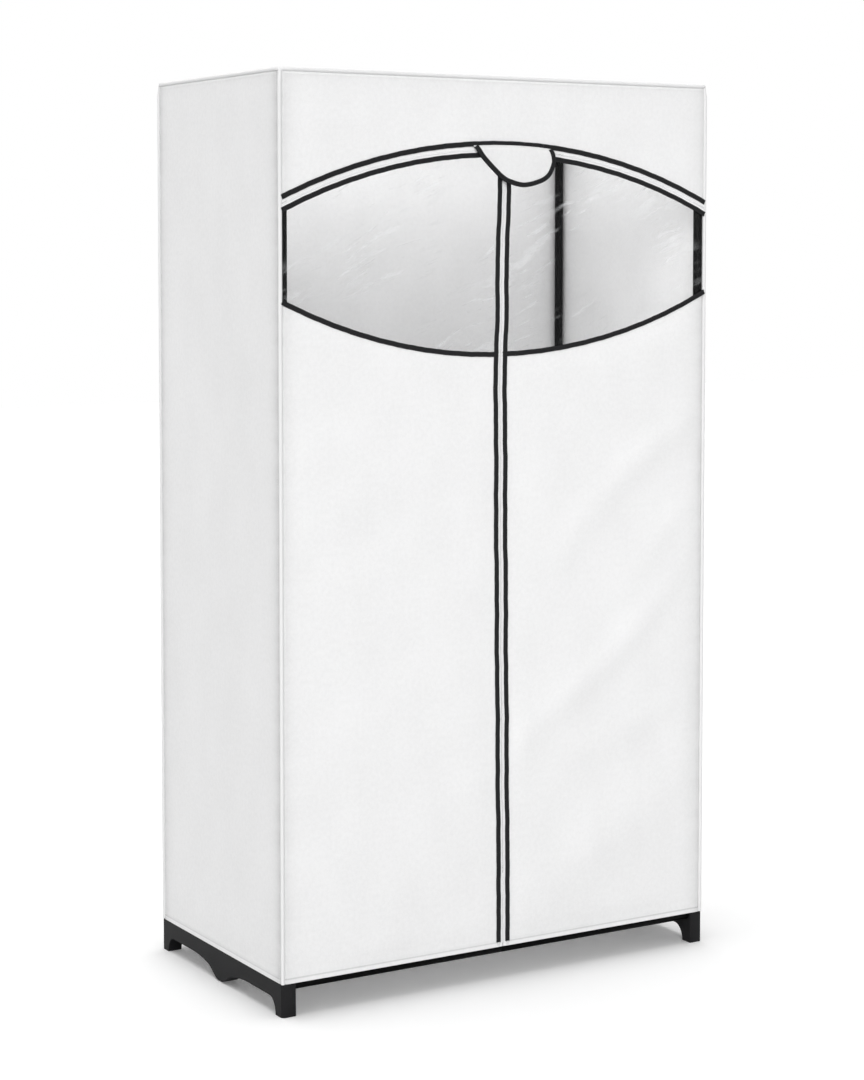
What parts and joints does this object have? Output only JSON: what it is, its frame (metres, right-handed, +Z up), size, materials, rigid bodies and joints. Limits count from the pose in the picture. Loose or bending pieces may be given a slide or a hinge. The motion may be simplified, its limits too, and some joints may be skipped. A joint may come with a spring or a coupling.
{
  "type": "portable fabric wardrobe",
  "caption": "Portable wardrobe: steel tube frame on moulded bases, with a hanging rod and a white cloth cover whose arched front has zipped doors, clear windows and a flap.",
  "frame": {"origin": "on the floor, under the middle of the footprint", "axes": "+Z up, -Y out of the front with the doors, +X to the right as seen from the front"},
  "size_m": [0.902, 0.4959, 1.626],
  "materials": {
    "black_tube": "satin",
    "black_moulding": "satin",
    "white_cloth": "matte",
    "black_binding": "matte",
    "clear_vinyl": "gloss",
    "zip_tape": "matte",
    "zip_metal": "satin"
  },
  "bodies": {
    "frame_and_cover": {"base_left": "black_moulding", "base_right": "black_moulding", "corner_connector_front_left": "black_moulding", "corner_connector_front_right": "black_moulding", "corner_connector_back_left": "black_moulding", "corner_connector_back_right": "black_moulding", "rod_tee_left": "black_moulding", "rod_tee_right": "black_moulding", "post_lower_front_left": "black_tube", "post_lower_front_right": "black_tube", "post_lower_back_left": "black_tube", "post_lower_back_right": "black_tube", "post_upper_front_left": "black_tube", "post_upper_front_right": "black_tube", "post_upper_back_left": "black_tube", "post_upper_back_right": "black_tube", "top_rail_front_left": "black_tube", "top_rail_front_right": "black_tube", "top_rail_back_left": "black_tube", "top_rail_back_right": "black_tube", "bottom_rail_front_left": "black_tube", "bottom_rail_front_right": "black_tube", "bottom_rail_back_left": "black_tube", "bottom_rail_back_right": "black_tube", "side_rail_left_front": "black_tube", "side_rail_left_back": "black_tube", "side_rail_right_front": "black_tube", "side_rail_right_back": "black_tube", "hanging_rod_left": "black_tube", "hanging_rod_right": "black_tube", "cover_back_panel": "white_cloth", "cover_left_panel": "white_cloth", "cover_right_panel": "white_cloth", "cover_top_panel": "white_cloth", "cover_header": "white_cloth", "piping_front_left": "white_cloth", "piping_front_right": "white_cloth", "piping_back_left": "white_cloth", "piping_back_right": "white_cloth", "header_binding": "black_binding", "arc_zip_left_header_tape": "zip_tape", "arc_zip_right_header_tape": "zip_tape"},
    "left_door": {"door_left_panel": "white_cloth", "door_left_window": "clear_vinyl", "door_left_binding": "black_binding", "middle_zip_left_tape": "zip_tape", "arc_zip_left_door_tape": "zip_tape"},
    "right_door": {"door_right_panel": "white_cloth", "door_right_window": "clear_vinyl", "door_right_binding": "black_binding", "middle_zip_right_tape": "zip_tape", "arc_zip_right_door_tape": "zip_tape"},
    "flap": {"flap_panel": "white_cloth", "flap_binding": "black_binding"},
    "middle_zip_slider": {"middle_slider": "zip_metal"},
    "middle_zip_pull": {"middle_pull": "zip_metal"},
    "left_zip_slider": {"arc_slider_left": "zip_metal"},
    "left_zip_pull": {"arc_pull_left": "zip_metal"},
    "right_zip_slider": {"arc_slider_right": "zip_metal"},
    "right_zip_pull": {"arc_pull_right": "zip_metal"}
  },
  "joints": [
    {"name": "left_door_swing", "type": "hinge", "parent": "frame_and_cover", "child": "left_door", "pos_m": [-0.4459, -0.2449, 0], "axis": [0, 0, -1], "range_deg": [0, 115]},
    {"name": "right_door_swing", "type": "hinge", "parent": "frame_and_cover", "child": "right_door", "pos_m": [0.4459, -0.2449, 0], "axis": [0, 0, 1], "range_deg": [0, 115]},
    {"name": "flap_lift", "type": "hinge", "parent": "frame_and_cover", "child": "flap", "pos_m": [0, -0.2504, 1.505], "axis": [-1, 0, 0], "range_deg": [0, 170]},
    {"name": "middle_zip_run", "type": "slide", "parent": "right_door", "child": "middle_zip_slider", "axis": [0, 0, -1], "range_m": [0, 1.345]},
    {"name": "left_zip_run", "type": "hinge", "parent": "frame_and_cover", "child": "left_zip_slider", "pos_m": [0, -0.2434, 0.45832], "axis": [0, -1, 0], "range_deg": [0, 22.9]},
    {"name": "right_zip_run", "type": "hinge", "parent": "frame_and_cover", "child": "right_zip_slider", "pos_m": [0, -0.2434, 0.45832], "axis": [0, 1, 0], "range_deg": [0, 22.9]},
    {"name": "middle_pull_swing", "type": "hinge", "parent": "middle_zip_slider", "child": "middle_zip_pull", "pos_m": [0, -0.2466, 1.4674], "axis": [0, 1, 0], "range_deg": [-30, 30]},
    {"name": "left_pull_swing", "type": "hinge", "parent": "left_zip_slider", "child": "left_zip_pull", "pos_m": [-0.0246, -0.2466, 1.49721], "axis": [0, 1, 0], "range_deg": [-30, 30]},
    {"name": "right_pull_swing", "type": "hinge", "parent": "right_zip_slider", "child": "right_zip_pull", "pos_m": [0.0246, -0.2466, 1.49721], "axis": [0, 1, 0], "range_deg": [-30, 30]}
  ]
}
